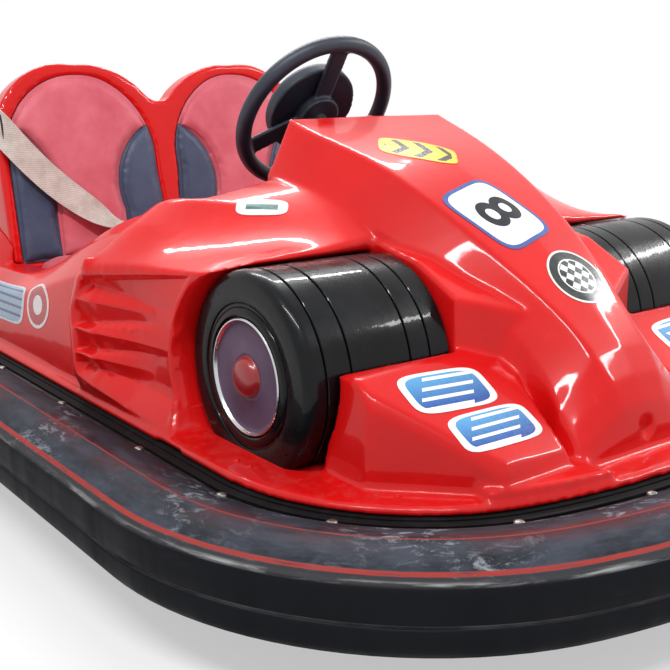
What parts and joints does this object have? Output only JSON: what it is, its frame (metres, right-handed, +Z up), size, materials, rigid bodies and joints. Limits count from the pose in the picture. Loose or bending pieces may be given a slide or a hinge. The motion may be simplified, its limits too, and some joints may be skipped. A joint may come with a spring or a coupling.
{
  "type": "two-seat bumper car",
  "caption": "Battery bumper car with a wedge nose, moulded front tyres, twin-hood bench seat, all-round rubber bumper and a steered drive wheel under the nose.",
  "frame": {"origin": "on the floor at the middle of the car's plan", "axes": "+Z up, the front faces -Y, +X is the car's left side"},
  "size_m": [1.3, 2.0996, 0.7244],
  "materials": {
    "red_shell": "glossy red gelcoat",
    "bumper_rubber": "worn black rubber",
    "skirt_rubber": "black rubber",
    "frame_steel": "black paint",
    "pan_steel": "black paint",
    "battery_case": "matte",
    "mock_tyre_paint": "gloss black paint",
    "mock_disc_paint": "satin grey",
    "machined_steel": "turned steel",
    "motor_paint": "grey paint",
    "solid_tyre": "solid rubber",
    "wheel_hub": "cast",
    "wheel_plastic": "satin dark",
    "seat_vinyl_red": "red vinyl",
    "seat_vinyl_grey": "slate vinyl",
    "belt_webbing": "beige webbing",
    "buckle_plastic": "black"
  },
  "bodies": {
    "chassis": {"bumper": "bumper_rubber", "bumper_carrier": "frame_steel", "skirt_band": "skirt_rubber", "floor_pan": "pan_steel", "chassis_frame": "frame_steel", "battery_pack": "battery_case", "body_front": "red_shell", "body_side_left": "red_shell", "body_side_right": "red_shell", "body_rear": "red_shell", "mock_tyre_left": "mock_tyre_paint", "mock_tyre_right": "mock_tyre_paint", "mock_disc_left": "mock_disc_paint", "mock_disc_right": "mock_disc_paint", "drive_bridge": "frame_steel", "steering_gearbox": "motor_paint", "column_bracket": "frame_steel", "rear_bracket_left": "frame_steel", "rear_bracket_right": "frame_steel", "accelerator": "frame_steel", "seat_shell": "red_shell", "seat_cushion_left": "seat_vinyl_red", "seat_cushion_right": "seat_vinyl_red", "back_pad_left": "seat_vinyl_red", "back_pad_right": "seat_vinyl_red", "inner_bolster_left": "seat_vinyl_grey", "inner_bolster_right": "seat_vinyl_grey", "outer_bolster_left": "seat_vinyl_grey", "outer_bolster_right": "seat_vinyl_grey", "belt_right": "belt_webbing", "belt_left": "belt_webbing", "belt_anchor_left": "buckle_plastic", "belt_anchor_right": "buckle_plastic", "belt_buckle": "buckle_plastic"},
    "drive_unit": {"drive_fork": "frame_steel", "drive_motor": "motor_paint"},
    "drive_wheel": {"drive_tyre": "solid_tyre", "drive_hub": "wheel_hub"},
    "steering": {"steering_column": "machined_steel", "steering_wheel": "wheel_plastic", "steering_pad": "wheel_plastic"},
    "rear_wheel_left": {"rear_tyre_left": "solid_tyre", "rear_hub_left": "wheel_hub"},
    "rear_wheel_right": {"rear_tyre_right": "solid_tyre", "rear_hub_right": "wheel_hub"}
  },
  "joints": [
    {"name": "drive_yaw", "type": "hinge", "parent": "chassis", "child": "drive_unit", "pos_m": [0, -0.56, 0.2], "axis": [0, 0, 1], "range_deg": [-180, 180]},
    {"name": "drive_roll", "type": "hinge", "parent": "drive_unit", "child": "drive_wheel", "pos_m": [0, -0.56, 0.11], "axis": [1, 0, 0], "continuous": true},
    {"name": "steering_turn", "type": "hinge", "parent": "chassis", "child": "steering", "pos_m": [0, -0.091, 0.593], "axis": [0, 0.8211, 0.5707], "range_deg": [-180, 180]},
    {"name": "rear_roll_left", "type": "hinge", "parent": "chassis", "child": "rear_wheel_left", "pos_m": [0.29, 0.56, 0.078], "axis": [1, 0, 0], "continuous": true},
    {"name": "rear_roll_right", "type": "hinge", "parent": "chassis", "child": "rear_wheel_right", "pos_m": [-0.29, 0.56, 0.078], "axis": [1, 0, 0], "continuous": true}
  ],
  "couplings": [
    {"joint": "steering_turn", "follows": "drive_yaw", "ratio": 1}
  ]
}
